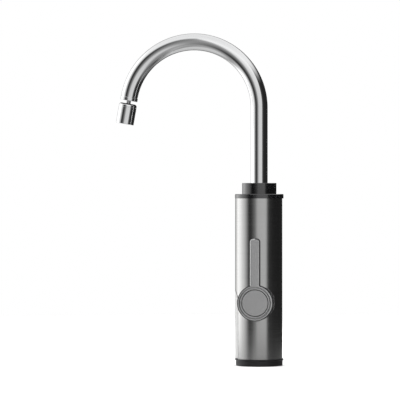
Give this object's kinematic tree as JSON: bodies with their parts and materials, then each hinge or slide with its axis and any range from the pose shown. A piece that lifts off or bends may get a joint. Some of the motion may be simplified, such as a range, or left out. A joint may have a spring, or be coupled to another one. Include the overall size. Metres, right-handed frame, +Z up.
{
  "type": "electric instant water heater tap",
  "caption": "Tap that heats water as it flows: stainless casing with a lever on the front, a tall swivelling gooseneck spout with a ball-jointed aerator, and a bottom inlet.",
  "frame": {"origin": "centre of the underside, at the mouth of the threaded inlet, on the axis that the spout swivels about", "axes": "+Z up along the casing, the spout reaches to -X, the lever stands on the -Y side"},
  "size_m": [0.2033, 0.0691, 0.3983],
  "materials": {
    "stainless": "soft vertical brushing",
    "chrome": "polished",
    "gloss_black": "polished black",
    "satin_black": "satin black",
    "handle_grey": "satin grey",
    "panel": "satin light grey",
    "brass": "turned",
    "steel": "zinc-plated",
    "element": "drawn tube",
    "rubber": "matt black",
    "white_plastic": "natural white",
    "dark_plastic": "glass-filled, dark grey",
    "ceramic": "lapped",
    "board": "solder mask",
    "screen": "dark window",
    "magnet": "sintered",
    "glass": "clear"
  },
  "bodies": {
    "tap": {"base_ring": "satin_black", "base_seal": "rubber", "cable_grommet": "rubber", "inlet_socket": "brass", "inlet_filter": "steel", "base_screws": "steel", "tie_rods": "steel", "tie_nuts": "steel", "casing_shell": "stainless", "front_panel": "panel", "board_bracket": "white_plastic", "display_board": "board", "display_module": "screen", "board_screws": "steel", "terminal_block": "white_plastic", "terminal_screws": "steel", "supply_pipe": "white_plastic", "supply_pipe_seals": "rubber", "reed_clip": "white_plastic", "reed_switch": "glass", "valve_body": "brass", "port_seal": "rubber", "fixed_disc": "ceramic", "cartridge_sleeve": "white_plastic", "cartridge_nut": "brass", "handle_boss": "handle_grey", "bypass_pipe": "brass", "heater_cup": "dark_plastic", "heater_lid": "brass", "heater_lid_seal": "rubber", "heater_screws": "steel", "heating_element": "element", "element_terminals": "steel", "cutout_bracket": "steel", "thermal_cutout": "dark_plastic", "outlet_manifold": "brass", "top_flange": "gloss_black", "spout_collar": "gloss_black", "lower_bush": "white_plastic", "upper_bush": "white_plastic"},
    "handle": {"handle_lever": "handle_grey", "handle_cap": "handle_grey", "handle_screw": "steel", "spindle": "brass", "moving_disc": "ceramic"},
    "spout": {"spout_tube": "chrome", "spout_stem": "brass", "stem_o_rings": "rubber", "spout_end_ring": "chrome", "ball_stud": "chrome"},
    "seat": {"ball_seat": "white_plastic"},
    "head": {"aerator_cap": "chrome", "aerator_housing": "chrome", "aerator_washer": "rubber", "aerator_screen": "steel", "aerator_insert": "white_plastic"},
    "float": {"flow_float": "dark_plastic", "float_magnet": "magnet"}
  },
  "joints": [
    {"name": "handle_turn", "type": "hinge", "parent": "tap", "child": "handle", "pos_m": [0, 0, 0.0759], "axis": [0, -1, 0], "range_deg": [-90, 90]},
    {"name": "spout_swivel", "type": "hinge", "parent": "tap", "child": "spout", "pos_m": [0, 0, 0.2], "axis": [0, 0, 1], "continuous": true},
    {"name": "aerator_spin", "type": "hinge", "parent": "spout", "child": "seat", "pos_m": [-0.16068, 0, 0.30716], "axis": [-0.1736, 0, -0.9848], "continuous": true},
    {"name": "aerator_tilt", "type": "hinge", "parent": "seat", "child": "head", "pos_m": [-0.16068, 0, 0.30716], "axis": [0, 1, 0], "range_deg": [-15, 15]},
    {"name": "float_lift", "type": "slide", "parent": "tap", "child": "float", "axis": [0, 0, 1], "range_m": [0, 0.006]}
  ]
}
